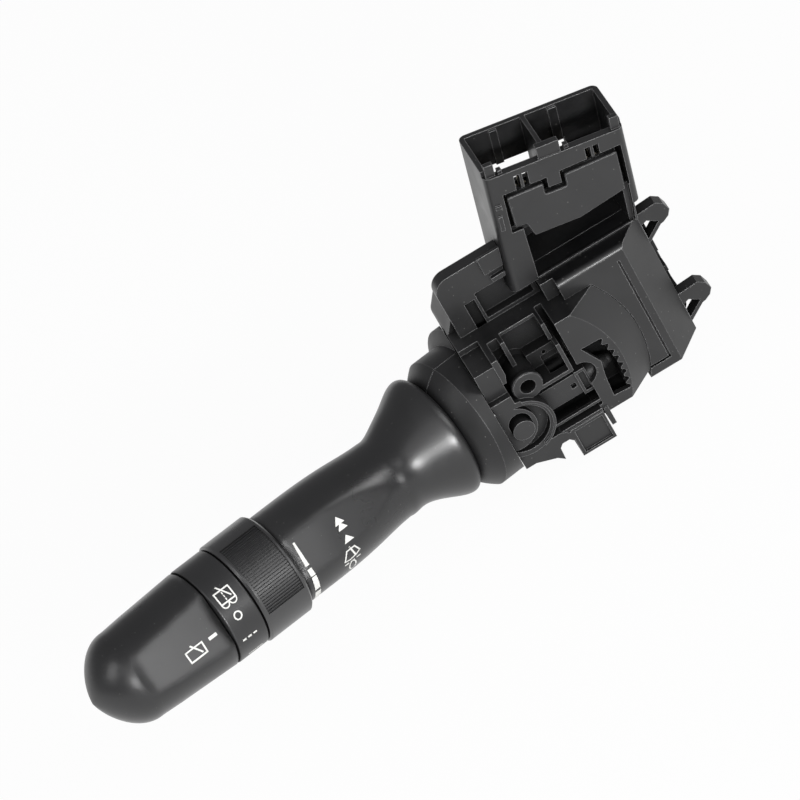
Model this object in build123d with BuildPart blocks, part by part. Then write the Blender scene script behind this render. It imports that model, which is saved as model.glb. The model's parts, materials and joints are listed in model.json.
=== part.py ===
from build123d import *
import math
import os

os.makedirs("parts", exist_ok=True)

# Wiper stalk switch, in millimetres. X runs along the body away from the lever, the driver looks
# along +Y at the open mechanism, and Z points to the plug side. Depths start at the screw boss mouth.

# Fits
running = 0.05
seam = 0.15
body_gap = 0.3
wall = 2.0
cut_over = 0.1

# Screw boss
boss_radius = 3.9
boss_mouth_radius = 4.4
boss_mouth_height = 1.2
boss_flare = 1.6
boss_hole_radius = 2.2
boss_height = 11.5
boss_hole_depth = 10.5
boss_foot_radius = 4.6

# Swing pivot of the lever, its axis along Y
pivot_x = -6.7
pivot_z = -10.8
axis_depth = 17.0
swing_down = 5.0
swing_up = 15.0

# Depths of the case, measured back from the boss mouth
ear_front = -1.2
ear_back = 1.8
platform_front = 1.0
platform_back = 2.6
lower_front = -0.4
panel_front = 7.2
floor_front = boss_height
flange_front = 16.0
case_back = 20.0
shell_back = 36.0

# Outline of the case
case_left = -11.3
case_bottom = -24.0
case_step = 12.8
case_top = 19.0
cover_bottom = -25.8
cover_panel_right = 39.7
cover_right = 47.6
shell_right = 48.9
cover_chamfer = cover_right - cover_panel_right
cover_left = 20.0
cover_tongue_front = 10.4
tongue_gap = 0.2
cover_edge_radius = 1.8
cover_thinning = 0.8
line_across = (37.0, 37.6)
line_heights = (-22.6, 15.0)
line_depth = 0.5
foot_line = (29.6, -23.0, -22.3)
foot_line_depth = 1.0

# Detent platform, a raised sector with a sloping rim
sector_x = -9.0
sector_z = -8.5
sector_radius = 35.0
sector_slope = 7.6
platform_left = 14.1
platform_bottom = -22.8
notch_x = 13.9
notch_z = -7.2
notch_radius = 4.2
channel_gap = 1.0
window_edge = ((17.0, 0.7), (20.2, -6.3), (19.3, -11.7), (18.8, -19.0))

# Open box beside the boss: its thin walls, step and pip
box_wall = 1.1
box_right = 12.7
box_bottom = -3.4
box_step_top = 7.2
box_setback = 3.6
box_upper = (11.0, 12.1)
lip_left = 0.4
lip_height = 1.0
box_step = (3.6, 11.7)
box_step_rise = 4.0
box_pip = (8.4, 1.2)
box_pip_radius = 0.55

# Blocks, channels and rail round the ear
upper_block_top = 11.1
post_outline = ((-5.4, 4.4), (-5.4, 12.8), (-3.6, 12.8), (-3.6, 7.0), (-4.4, 4.4))
post_front = 0.6
lower_outline = (
    (1.5, -19.6), (3.7, -21.2), (3.8, -21.2), (3.8, -24.2), (3.5, -24.2), (2.6, -23.1), (0.4, -23.1),
    (-0.6, -24.2), (-0.8, -28.4), (-2.6, -26.6), (-8.2, -24.3),
)
lower_left = (-24.3, -19.6)
channel_left = 1.5
channel_sill = (-21.2, -19.8)
rail_left = -2.0
rail_reach = 1.2
rail_depths = (1.0, 2.0)
rail_heights = (-18.3, -17.5)
rung_across = (-0.7, 0.5)
rung_lift = 6.0
rung_bottom = 3.0
shelf_left = -3.6
shelf_lift = 3.0
shelf_bottom = 9.4
tongue_across = (14.6, 15.9)
tongue_bottom = -27.4

# Ear over the trunnion
ear_radius = 9.2
ear_top = 1.2
ear_bottom = -17.7
ear_rim_width = 0.8
ear_rim_height = 0.5
trunnion_radius = 3.1
trunnion_front = -2.0
slot_lift = 2.4
crescent_depth = 2.0

# Swing bracket
bracket_height = 7.0
bracket_bar = 2.6
bracket_left = 4.2
bracket_right = 2.2
bracket_web_right = 6.6
bracket_web = 1.7
bracket_plate = 2.0
bracket_front = 2.3
bracket_back = 33.4
web_depths = (13.4, 24.0)
contact_arm = (20.4, 24.0)
contact_arm_half = 2.6
contact_arm_reach = 2.2
clip_pocket = 1.0
clip_rim = (0.7, 0.6, 0.9)
arm_hole = (1.5, 1.2, 1.6)
arm_hole_back = 2.4
cavity_radius = 8.6
deep_cavity_radius = 10.3
arm_front = 3.3
arm_back = 6.8
arm_half = 3.6
arm_end = 19.1
sleeve_half = 4.2
sleeve_length = 3.1
sleeve_radius = 3.3
sleeve_axis = 6.2
clip_front = sleeve_axis - 3.4
clip_back = 3.2
sleeve_end = 25.4
sweep_front = platform_back
sweep_back = 9.8
sweep_bottom = -19.4
sweep_right = 15.0
sweep_roof = ((15.0, 0.4), (7.0, 0.4), (7.0, -3.0), (3.2, -4.0), (0.0, -4.9), (pivot_x, -5.2))
cam_pocket = (-20.6, 1.9)
cam_pocket_left = 13.0
cam_pocket_right = 40.0

# Detent plunger, spring and cam
plunger_radius = 2.2
plunger_start = 23.6
nose_reach = 30.3
nose_radius = 1.5
spring_start = 20.4
spring_wire = 0.5
spring_turns = 4
cam_peak = nose_reach + body_gap
cam_wave = 1.2
cam_thick = 3.1
cam_outer = nose_reach + cam_thick
cam_step = 5.0

# Bottom block under the case
block_left = 3.8
block_right = 14.1
block_bottom = -30.7
block_top = -20.7
block_back = 15.0
block_rim = (0.8, 1.0)
block_sink = 0.7
block_face = 2.5
block_hollow = 5.0

# Flange plate beside the plugs
flange_left = -8.6
flange_right = 16.0
flange_top = 32.8
flange_corner = 4.5
flange_thick = 4.0
pad_across = (5.2, 12.4)
pad_heights = (27.6, 33.4)
pad_lift = 0.8
ledge_across = (6.2, 14.0)
ledge_heights = (24.4, 25.8)
ledge_lift = 1.2
recess_across = (0.4, 14.6)
recess_rise = (14.0, 23.4)
recess_floor = 1.2
slit_across = (-3.4, -0.4)
slit_depth = 2.5
slit_heights = (9.8, 21.8)

# Plug housing, turned in the plane of the body
plug_turn = 12.0
plug_x = 36.6
plug_z = 53.7
plug_width = 39.5
plug_front = 13.0
plug_thick = 20.0
plug_length = 32.0
plug_wall = 1.5
plug_front_wall = 2.4
socket_depth = 20.0
divider_from = -2.5
divider_to = -1.2
back_lip = 11.4
lid_recess = 1.4
lid_thick = 1.6
blade = 0.8
blade_length = 8.0
blade_pitch = 2.6

# Hooks on the side cover
hook_pitch = 31.0
hook_upper_z = 13.5
hook_front = 15.0
hook_back = 18.6
hook_outline = (
    (-1.0, -5.3), (-1.0, 5.2), (0.1, 5.2), (6.0, 5.6), (7.9, 4.0), (8.7, 1.4), (7.6, -0.4),
    (5.8, -1.4), (4.8, -1.6), (0.0, -5.3),
)
hook_window = ((0.1, -3.8), (0.1, 1.3), (1.8, 1.9), (4.6, -0.3))

# Lever
lean_deg = 17.0
rise_deg = 6.4
eye_radius = 4.5
eye_half = 4.0
tilt_pin_radius = 1.5
shank_radius = 3.8
core_radius = 6.0
core_bore = 2.6
core_start = 25.0
grip_end = 77.4
ring_start = 77.9
ring_end = 92.3
ring_radius = 15.3
ring_neck = 9.0
drum_radius = 12.0
collar_start = 92.8
collar_end = 102.3
collar_radius = 14.8
knob_start = 102.7
knob_shoulder = 127.0
knob_tip = 140.2
knob_root_radius = 14.7
knob_end_radius = 13.3
spindle_radius = 8.0
spindle_end = 118.0
facet_height = 12.1
facet_turn = -12.0
pull_angle = 5.5
knurl_count = 27
knurl_arc = 84.0
knurl_depth = 0.45
knurl_width = 0.8

# Round cover at the lever's root
shroud_radius = 19.9
shroud_wall = 1.9
shroud_inner = shroud_radius - shroud_wall
shroud_edge = -21.6
dome_radius = 24.9
dome_inner = 23.7
dome_opening = 13.0
grip_hollow = 25.7

# Contact parts inside the back
board_front = 29.6
board_thick = 1.6
slider_front = 26.0
slider_x = 11.3
peg_radius = 1.5
peg_gap = 0.8


def facing(depth):
    # plane that faces the driver at a depth behind the boss mouth
    return Plane.XZ.offset(-depth)


def push(sketch, depths, mode=Mode.ADD):
    extrude(sketch, amount=depths[1] - depths[0], mode=mode)


def slab(across, depths, heights, mode=Mode.ADD):
    with BuildSketch(facing(depths[1])) as face:
        with Locations((sum(across) / 2, sum(heights) / 2)):
            Rectangle(across[1] - across[0], heights[1] - heights[0])
    push(face.sketch, depths, mode)


def shape(corners, depths, mode=Mode.ADD):
    with BuildSketch(facing(depths[1])) as face:
        with BuildLine():
            Polyline(*corners, close=True)
        make_face()
    push(face.sketch, depths, mode)


def disc(x, z, radius, depths, mode=Mode.ADD):
    with BuildSketch(facing(depths[1])) as face:
        with Locations((x, z)):
            Circle(radius)
    push(face.sketch, depths, mode)


def save(piece, name):
    piece.part.label = name
    export_step(piece.part, f"parts/{name}.step")


# Lever frame: out along the lever, near towards the driver, up across it
lean = math.radians(lean_deg)
rise = math.radians(rise_deg)
view = math.radians(40.0)
hub = Vector(pivot_x, axis_depth, pivot_z)
out = Vector(-math.cos(lean) * math.cos(rise), -math.sin(lean), math.cos(lean) * math.sin(rise))
toward = Vector(0, -math.cos(view), math.sin(view))
near = (toward - out * toward.dot(out)).normalized()
up = out.cross(near)
lever = Plane(origin=hub, x_dir=near, z_dir=out)
lever_upright = Plane(origin=hub, x_dir=up, z_dir=out)
lever_side = Plane(origin=hub, x_dir=out, z_dir=out.cross(up))
lever_axis = Axis(hub, out)
facet_turned = math.radians(facet_turn)
facet_dir = near * math.cos(facet_turned) + up * math.sin(facet_turned)
facet_side = Plane(origin=hub, x_dir=out, z_dir=out.cross(facet_dir))
tilt_plane = Plane(origin=(pivot_x, axis_depth, pivot_z), x_dir=(1, 0, 0), z_dir=(0, 0, 1))


def rod(start, end, radius, mode=Mode.ADD):
    with BuildSketch(lever.offset(start)) as face:
        Circle(radius)
    extrude(face.sketch, amount=end - start, mode=mode)


def facet(start, end, run_out=0):
    # flat along the printed side of the lever, ending in a rounded run-out
    with BuildSketch(facet_side) as face:
        with BuildLine():
            Polyline((start, 30), (start, facet_height), (end, facet_height))
            if run_out > 0:
                RadiusArc((end, facet_height), (end + run_out, facet_height + run_out), -run_out)
            Polyline((end + run_out, facet_height + run_out), (end + run_out, 30), (start, 30))
        make_face()
    extrude(face.sketch, amount=25, both=True, mode=Mode.SUBTRACT)


# Plug frame: across the sockets, through them, and down from their mouth
turn = math.radians(plug_turn)
plug_mid = plug_front + plug_thick / 2
plug_back = plug_front + plug_thick
plug_half = plug_width / 2
plug_across = (math.cos(turn), 0, -math.sin(turn))
plug_out = (math.sin(turn), 0, math.cos(turn))
plug_mouth = Plane(origin=(plug_x, plug_mid, plug_z), x_dir=plug_across, z_dir=plug_out)
lid_depth = plug_front + lid_recess


def well(across, depths, downs, mode=Mode.ADD):
    # box in the plug's own frame
    with BuildSketch(plug_mouth.offset(-downs[1])) as face:
        with Locations((sum(across) / 2, sum(depths) / 2 - plug_mid)):
            Rectangle(across[1] - across[0], depths[1] - depths[0])
    extrude(face.sketch, amount=downs[1] - downs[0], mode=mode)


def plug_shape(corners, depths, mode=Mode.ADD):
    # outline on the plug's front, its second number measured down from the mouth
    front = Plane(origin=(plug_x, depths[1], plug_z), x_dir=plug_across, z_dir=(0, -1, 0))
    with BuildSketch(front) as face:
        with BuildLine():
            Polyline(*[(across, -down) for across, down in corners], close=True)
        make_face()
    extrude(face.sketch, amount=depths[1] - depths[0], mode=mode)


# Detent wave: one valley for each position of the lever
wave_points = []
cam_from = -16.0
cam_to = 21.5
wave_steps = 81
for step in range(wave_steps + 1):
    angle = cam_from + (cam_to - cam_from) * step / wave_steps
    wave = (1 + math.cos(math.radians(360 * angle / cam_step))) / 2
    reach = cam_peak + cam_wave * wave
    spot = math.radians(angle)
    wave_points.append((pivot_x + reach * math.cos(spot), pivot_z + reach * math.sin(spot)))

# Raised detent sector with its sloping rim, cut square at its left, top and bottom
sector_full = sector_radius + sector_slope
with BuildPart() as sector:
    with BuildSketch(facing(case_back)):
        with Locations((sector_x, sector_z)):
            Circle(sector_full)
    extrude(amount=case_back - panel_front)
    with BuildSketch(facing(panel_front)):
        with Locations((sector_x, sector_z)):
            Circle(sector_full)
    with BuildSketch(facing(platform_front)):
        with Locations((sector_x, sector_z)):
            Circle(sector_radius)
    loft()
    with BuildSketch(facing(case_back)):
        with Locations(((platform_left + 50) / 2, (platform_bottom + case_step) / 2)):
            Rectangle(50 - platform_left, case_step - platform_bottom)
    extrude(amount=case_back - platform_front, mode=Mode.INTERSECT)

# Front case: floor slab, platform, walls, ear and boss in one moulding
with BuildPart() as front_case:
    slab((case_left, platform_left + 2), (floor_front, case_back), (case_bottom, case_step))
    add(sector.part)
    # flange plate beside the plugs, with its pad and ledge
    with BuildSketch(facing(flange_front + flange_thick)):
        with Locations(((flange_left + flange_right) / 2, (case_step - 4 + flange_top) / 2)):
            RectangleRounded(flange_right - flange_left, flange_top - case_step + 4, flange_corner)
    extrude(amount=case_back - flange_front)
    slab(pad_across, (flange_front - pad_lift, flange_front), pad_heights)
    slab(ledge_across, (flange_front - ledge_lift, flange_front), ledge_heights)
    slab(recess_across, (flange_front - cut_over, case_back - recess_floor), recess_rise, Mode.SUBTRACT)
    slab(slit_across, (flange_front - cut_over, flange_front + slit_depth), slit_heights, Mode.SUBTRACT)
    foot_down = (plug_z + (plug_half + seam) * math.sin(turn) - case_top) / math.cos(turn)
    foot_x = plug_x - (plug_half + seam) * math.cos(turn) - foot_down * math.sin(turn)
    shape(
        ((foot_x, case_top), (foot_x + 50 * math.tan(turn), case_top + 50), (70, case_top + 50), (70, case_top)),
        (plug_front - 1, case_back + 1), Mode.SUBTRACT,
    )
    # blocks around the ear
    slab((case_left, post_outline[0][0]), (platform_front, floor_front), (ear_top - 0.4, upper_block_top))
    shape(post_outline, (post_front, floor_front))
    shape(
        ((case_left, lower_left[1]), *lower_outline, (case_left, lower_left[0])),
        (lower_front, floor_front),
    )
    # bottom block with a shallow frame on its face
    slab((block_left, block_right), (lower_front, block_back), (block_bottom, block_top))
    slab((block_left + block_rim[1], block_right - block_rim[0]), (lower_front - cut_over, lower_front + block_sink),
         (block_bottom + block_rim[0], block_top - block_rim[1]), Mode.SUBTRACT)
    slab((block_left + wall, block_right - wall), (lower_front + block_face, block_back + cut_over),
         (block_bottom - cut_over, block_bottom + block_hollow), Mode.SUBTRACT)
    # tongue beside the block
    slab(tongue_across, (post_front, floor_front), (tongue_bottom, platform_bottom + wall))
    # channel walls
    slab((channel_left, platform_left + cut_over), (0, floor_front), channel_sill)
    slab((box_right - box_wall, box_right), (0, floor_front), (box_bottom, box_step_top))
    slab(box_upper, (box_setback, floor_front), (box_step_top - cut_over, case_step))
    slab((rung_across[1], box_right), (0, floor_front), (box_bottom, box_bottom + box_wall))
    slab((lip_left, box_upper[1]), (floor_front - wall, floor_front), (case_step - lip_height, case_step))
    slab(box_step, (floor_front - box_step_rise, floor_front), (box_bottom + box_wall - cut_over, rung_bottom))
    disc(*box_pip, box_pip_radius, (floor_front - box_step_rise - cut_over, floor_front - wall), Mode.SUBTRACT)
    slab(rung_across, (floor_front - rung_lift, floor_front), (rung_bottom, case_step))
    slab((shelf_left, rung_across[0]), (floor_front - shelf_lift, floor_front), (shelf_bottom, case_step))
    # hollow for the swinging bracket, open to the lever
    disc(pivot_x, pivot_z, cavity_radius, (ear_back, case_back), Mode.SUBTRACT)
    disc(pivot_x, pivot_z, deep_cavity_radius, (floor_front + 1.5, case_back), Mode.SUBTRACT)
    slab((case_left - 1, pivot_x), (ear_back, case_back),
         (pivot_z - cavity_radius, pivot_z + cavity_radius), Mode.SUBTRACT)
    # sweep of the detent arm, and the pocket of its sleeve and cam below the platform
    shape(
        ((pivot_x, sweep_bottom), (sweep_right, sweep_bottom), *sweep_roof),
        (sweep_front, sweep_back), Mode.SUBTRACT,
    )
    with BuildSketch(facing(sweep_back)):
        with Locations((pivot_x, pivot_z)):
            Circle(cam_outer + running)
        with Locations(((cam_pocket_left + cam_pocket_right) / 2, sum(cam_pocket) / 2)):
            Rectangle(cam_pocket_right - cam_pocket_left, cam_pocket[1] - cam_pocket[0], mode=Mode.INTERSECT)
    extrude(amount=sweep_back - sweep_front, mode=Mode.SUBTRACT)
    # window over the cam and notch over the sleeve
    with BuildSketch(facing(platform_back + 0.1)):
        with BuildLine():
            Spline(*wave_points)
            Polyline(wave_points[-1], *window_edge, wave_points[0])
        make_face()
    extrude(amount=platform_back + 0.1 - (platform_front - 1), mode=Mode.SUBTRACT)
    disc(notch_x, notch_z, notch_radius, (platform_front - 1, platform_back + 0.1), Mode.SUBTRACT)
    slab((platform_left - cut_over, platform_left + channel_gap), (platform_front - 1, platform_back + cut_over),
         (sweep_bottom, notch_z), Mode.SUBTRACT)
    # screw boss: turned outline with a wider mouth and foot
    with BuildSketch(Plane.XY):
        with BuildLine():
            Polyline(
                (0, 0), (boss_mouth_radius - 0.3, 0), (boss_mouth_radius, 0.3),
                (boss_mouth_radius, boss_mouth_height),
                (boss_radius, boss_mouth_height + boss_flare),
                (boss_radius, floor_front - boss_flare),
                (boss_foot_radius, floor_front + 0.1), (0, floor_front + 0.1), close=True,
            )
        make_face()
    revolve(axis=Axis.Y)
    disc(0, 0, boss_hole_radius, (-0.1, boss_hole_depth), Mode.SUBTRACT)
    # rail across the channel, from the ear to the platform
    slab((rail_left, platform_left + rail_reach), rail_depths, rail_heights)
    # ear with its rounded end, raised rim and trunnion slot
    with BuildSketch(facing(ear_back)):
        with Locations((pivot_x, pivot_z)):
            Circle(ear_radius)
        with Locations(((case_left + pivot_x + 1.4) / 2, (ear_top + ear_bottom) / 2)):
            Rectangle(pivot_x + 1.4 - case_left, ear_top - ear_bottom)
        with Locations((case_left + 15, pivot_z)):
            Rectangle(30, 40, mode=Mode.INTERSECT)
    extrude(amount=ear_back - ear_front)
    with BuildSketch(facing(ear_front)):
        with Locations((pivot_x, pivot_z)):
            Circle(ear_radius)
            Circle(ear_radius - ear_rim_width, mode=Mode.SUBTRACT)
        with Locations((pivot_x + 10, pivot_z)):
            Rectangle(14, 30, mode=Mode.INTERSECT)
    extrude(amount=ear_rim_height)
    with BuildSketch(facing(ear_back + 0.1)):
        with Locations((pivot_x, pivot_z + slot_lift / 2)):
            SlotOverall(2 * (trunnion_radius + running) + slot_lift,
                        2 * (trunnion_radius + running), rotation=90)
    extrude(amount=ear_back - ear_front + 2, mode=Mode.SUBTRACT)
    # dark crescent on the far side of the trunnion
    with BuildSketch(facing(ear_front + crescent_depth)):
        with Locations((pivot_x, pivot_z)):
            Circle(ear_radius - 1.6)
        with Locations((pivot_x - 2.6, pivot_z + 1.2)):
            Circle(ear_radius - 2.2, mode=Mode.SUBTRACT)
    extrude(amount=crescent_depth + 1, mode=Mode.SUBTRACT)
save(front_case, "front_case")

# Side cover: front panel, slope and side wall, with the curved edge that fits the platform
with BuildPart() as cover_plate:
    with BuildSketch(Plane.XY.offset(cover_bottom)):
        with BuildLine():
            Polyline(
                (cover_left, panel_front), (cover_panel_right, panel_front),
                (cover_right, panel_front + cover_chamfer), (cover_right, case_back),
                (cover_left, case_back), close=True,
            )
        make_face()
    extrude(amount=case_top - cover_bottom)
    slab((flange_right + tongue_gap, cover_left + 1), (cover_tongue_front, case_back),
         (case_step + tongue_gap, case_top))
    fillet(cover_plate.edges().filter_by(Axis.X).group_by(Axis.Z)[-1].group_by(Axis.Y)[0],
           cover_edge_radius)
    with BuildSketch(Plane.XY.offset(cover_bottom + wall)):
        with BuildLine():
            Polyline(
                (cover_left, panel_front + wall), (cover_panel_right - cover_thinning, panel_front + wall),
                (cover_right - wall, panel_front + cover_chamfer + cover_thinning),
                (cover_right - wall, case_back + 1), (cover_left, case_back + 1), close=True,
            )
        make_face()
    extrude(amount=case_top - cover_bottom - 2 * wall, mode=Mode.SUBTRACT)
    with BuildSketch(facing(case_back + 1)):
        with Locations((sector_x, sector_z)):
            Circle(sector_full + seam)
        with Locations((20, (case_step + seam - 30) / 2)):
            Rectangle(60, case_step + seam + 30, mode=Mode.INTERSECT)
    extrude(amount=case_back + 1 - (panel_front - 1), mode=Mode.SUBTRACT)
    # shallow panel lines
    slab(line_across, (panel_front - cut_over, panel_front + line_depth), line_heights, Mode.SUBTRACT)
    slab((foot_line[0], line_across[1]), (panel_front - cut_over, panel_front + foot_line_depth),
         foot_line[1:], Mode.SUBTRACT)
    # two locking hooks with their windows
    for hook_z in (hook_upper_z, hook_upper_z - hook_pitch):
        with BuildSketch(facing(hook_back).shift_origin((cover_right, hook_back, hook_z))):
            with BuildLine():
                Polyline(*hook_outline, close=True)
            make_face()
            with BuildLine():
                Polyline(*hook_window, close=True)
            make_face(mode=Mode.SUBTRACT)
        extrude(amount=hook_back - hook_front)
save(cover_plate, "cover_plate")

# Back shell: rounded tray with posts for the board and a boss for the back trunnion
shell_corner = 3.0
shell_round = 2.4
screw_post_radius = 2.6
screw_bore_radius = 1.25
screw_radius = 1.2
screw_head_radius = 2.3
screw_head_depth = 1.2
screw_head_proud = 0.3
screw_head_room = 0.1
screw_tip_gap = 0.2
board_post_radius = 1.8
board_post_inset = (2.5, 3.0)
trunnion_boss_radius = 4.3
trunnion_boss_height = 1.2
shell_rib_across = (16.0, 36.0)
shell_rib_bottoms = (-1.0, -13.0)
shell_rib_width = 1.4
shell_rib_height = 0.8
side_recess_heights = ((-13.0, -7.4), (-5.6, 0.4))
side_recess_depth = 4.0
side_recess_in = 1.0
shell_corners = (
    (case_left, -19.0), (-8.0, cover_bottom), (shell_right - 3.5, cover_bottom), (shell_right, cover_bottom + 5),
    (shell_right, case_top), (-7.0, case_top), (case_left, 12.0),
)
board_left = 6.0
board_right = 41.5
board_bottom = -22.0
board_top = 16.4
screw_spots = ((2.0, 14.6), (45.0, -21.0), (2.0, -21.6))
with BuildPart() as back_shell:
    with BuildSketch(facing(shell_back)):
        with BuildLine():
            Polyline(*shell_corners, close=True)
        make_face()
        fillet(vertices(), shell_corner)
    extrude(amount=shell_back - case_back)
    fillet(back_shell.faces().sort_by(Axis.Y)[-1].edges(), shell_round)
    with BuildSketch(facing(shell_back - wall)):
        with BuildLine():
            Polyline(*shell_corners, close=True)
        make_face()
        fillet(vertices(), shell_corner)
        offset(amount=-wall, mode=Mode.REPLACE)
    extrude(amount=shell_back - case_back, mode=Mode.SUBTRACT)
    # opening for the lever's root
    slab((case_left - 1, pivot_x), (case_back - 1, shell_back - wall),
         (pivot_z - cavity_radius, pivot_z + cavity_radius), Mode.SUBTRACT)
    # posts under the board
    for post_x in (board_left + board_post_inset[0], board_right - board_post_inset[0]):
        for post_z in (board_bottom + board_post_inset[1], board_top - board_post_inset[1]):
            disc(post_x, post_z, board_post_radius, (board_front + board_thick, shell_back - wall + cut_over))
    # screw bosses reach forward to the case
    for screw_x, screw_z in screw_spots:
        disc(screw_x, screw_z, screw_post_radius, (case_back, shell_back - wall + cut_over))
        disc(screw_x, screw_z, screw_bore_radius, (case_back - 1, shell_back + 1), Mode.SUBTRACT)
        disc(screw_x, screw_z, screw_head_radius + screw_head_room, (shell_back - screw_head_depth, shell_back + 1),
             Mode.SUBTRACT)
    # boss that carries the back trunnion
    disc(pivot_x, pivot_z, trunnion_boss_radius, (shell_back - cut_over, shell_back + trunnion_boss_height))
    disc(pivot_x, pivot_z, trunnion_radius + running, (case_back, shell_back + 1), Mode.SUBTRACT)
    # recess with its rung between the hooks
    for recess_heights in side_recess_heights:
        slab((shell_right - side_recess_in, shell_right + 1), (case_back - cut_over, case_back + side_recess_depth),
             recess_heights, Mode.SUBTRACT)
    # stiffening ribs across the outer face
    for rib_bottom in shell_rib_bottoms:
        slab(shell_rib_across, (shell_back - cut_over, shell_back + shell_rib_height),
             (rib_bottom, rib_bottom + shell_rib_width))
save(back_shell, "back_shell")

with BuildPart() as case_screws:
    for screw_x, screw_z in screw_spots:
        disc(screw_x, screw_z, screw_head_radius, (shell_back - screw_head_depth, shell_back + screw_head_proud))
        disc(screw_x, screw_z, screw_radius, (case_back + screw_tip_gap, shell_back - screw_head_depth))
save(case_screws, "case_screws")

# Board with the fixed contacts
board_slot_across = (26.0, 30.0)
board_slot_heights = (-4.0, 4.0)
with BuildPart() as contact_board:
    slab((board_left, board_right), (board_front, board_front + board_thick), (board_bottom, board_top))
    slab(board_slot_across, (board_front - 1, board_front + board_thick + 1), board_slot_heights, Mode.SUBTRACT)
save(contact_board, "contact_board")

# Detent cam: arc insert whose inner wall follows the wave
low = math.radians(cam_from)
high = math.radians(cam_to)
with BuildPart() as detent_cam:
    with BuildSketch(facing(sweep_back - 0.1)):
        with BuildLine():
            Spline(*wave_points)
            Line(wave_points[-1], (pivot_x + cam_outer * math.cos(high), pivot_z + cam_outer * math.sin(high)))
            RadiusArc(
                (pivot_x + cam_outer * math.cos(high), pivot_z + cam_outer * math.sin(high)),
                (pivot_x + cam_outer * math.cos(low), pivot_z + cam_outer * math.sin(low)),
                cam_outer,
            )
            Line((pivot_x + cam_outer * math.cos(low), pivot_z + cam_outer * math.sin(low)), wave_points[0])
        make_face()
    extrude(amount=sweep_back - 0.1 - sweep_front - 0.2)
save(detent_cam, "detent_cam")

# Swing bracket: frame around the lever's eye, two trunnions, detent arm and contact arm
bar_outer = bracket_height
bar_inner = bracket_height - bracket_bar
back_plate = 31.2
back_corner = 2.4
with BuildPart() as swing_bracket:
    for side in (1, -1):
        bar = (pivot_z + side * (bar_inner + bar_outer) / 2 - bracket_bar / 2,
               pivot_z + side * (bar_inner + bar_outer) / 2 + bracket_bar / 2)
        slab((pivot_x - bracket_left, pivot_x + bracket_right), (bracket_front, bracket_back), bar)
        slab((pivot_x - bracket_left, pivot_x + bracket_web_right), web_depths, bar)
    tall = (pivot_z - bracket_height, pivot_z + bracket_height)
    slab((pivot_x - bracket_left, pivot_x + bracket_right), (bracket_front, bracket_front + bracket_plate), tall)
    slab((pivot_x - bracket_left, pivot_x + bracket_right), (back_plate, bracket_back), tall)
    slab((pivot_x + bracket_web_right - bracket_web, pivot_x + bracket_web_right), web_depths, tall)
    # detent arm, sleeve block and sleeve
    slab((pivot_x + bracket_right - 0.5, pivot_x + arm_end), (arm_front, arm_back),
         (pivot_z - arm_half, pivot_z + arm_half))
    slab((pivot_x - bracket_left, pivot_x + bracket_right), (arm_front, arm_back),
         (pivot_z - bar_inner, pivot_z + bar_inner))
    slab((pivot_x + arm_end - 0.1, pivot_x + arm_end + sleeve_length), (clip_front, sleeve_axis + clip_back),
         (pivot_z - sleeve_half, pivot_z + sleeve_half))
    sleeve_plane = Plane(origin=(pivot_x + arm_end, sleeve_axis, pivot_z), x_dir=(0, 1, 0), z_dir=(1, 0, 0))
    with BuildSketch(sleeve_plane):
        Circle(sleeve_radius)
    extrude(amount=sleeve_end - arm_end)
    with BuildSketch(sleeve_plane.offset(spring_start - arm_end)):
        Circle(plunger_radius + running)
    extrude(amount=30, mode=Mode.SUBTRACT)
    slab((pivot_x + arm_end + clip_rim[0], pivot_x + arm_end + sleeve_length - clip_rim[1]),
         (clip_front - cut_over, clip_front + clip_pocket),
         (pivot_z - sleeve_half + clip_rim[2], pivot_z + sleeve_half - clip_rim[2]), Mode.SUBTRACT)
    slab((pivot_x + arm_end - arm_hole_back, pivot_x + arm_end - arm_hole_back + arm_hole[0]),
         (arm_front - cut_over, arm_front + arm_hole[1]),
         (pivot_z - arm_hole[2] / 2, pivot_z + arm_hole[2] / 2), Mode.SUBTRACT)
    # contact arm behind the case floor with its peg
    slab((pivot_x + bracket_web_right - 0.5, slider_x + contact_arm_reach), contact_arm,
         (pivot_z - contact_arm_half, pivot_z + contact_arm_half))
    disc(slider_x, pivot_z, peg_radius, (contact_arm[1] - cut_over, board_front - peg_gap))
    # back corners cut away where the frame swings inside the round cover
    slab((pivot_x - bracket_left - 1, pivot_x - back_corner), (back_plate - 2, 34), tall, Mode.SUBTRACT)
    # trunnions
    disc(pivot_x, pivot_z, trunnion_radius, (trunnion_front, bracket_front + cut_over))
    disc(pivot_x, pivot_z, trunnion_radius, (bracket_back - cut_over, shell_back - 0.2))
    with BuildSketch(tilt_plane.offset(-bracket_height - 1)):
        Circle(tilt_pin_radius)
    extrude(amount=2 * bracket_height + 2, mode=Mode.SUBTRACT)
save(swing_bracket, "swing_bracket")

with BuildPart() as tilt_pin:
    with BuildSketch(tilt_plane.offset(-bracket_height)):
        Circle(tilt_pin_radius - 0.02)
    extrude(amount=2 * bracket_height)
    chamfer(tilt_pin.edges(), 0.2)
save(tilt_pin, "tilt_pin")

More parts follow.
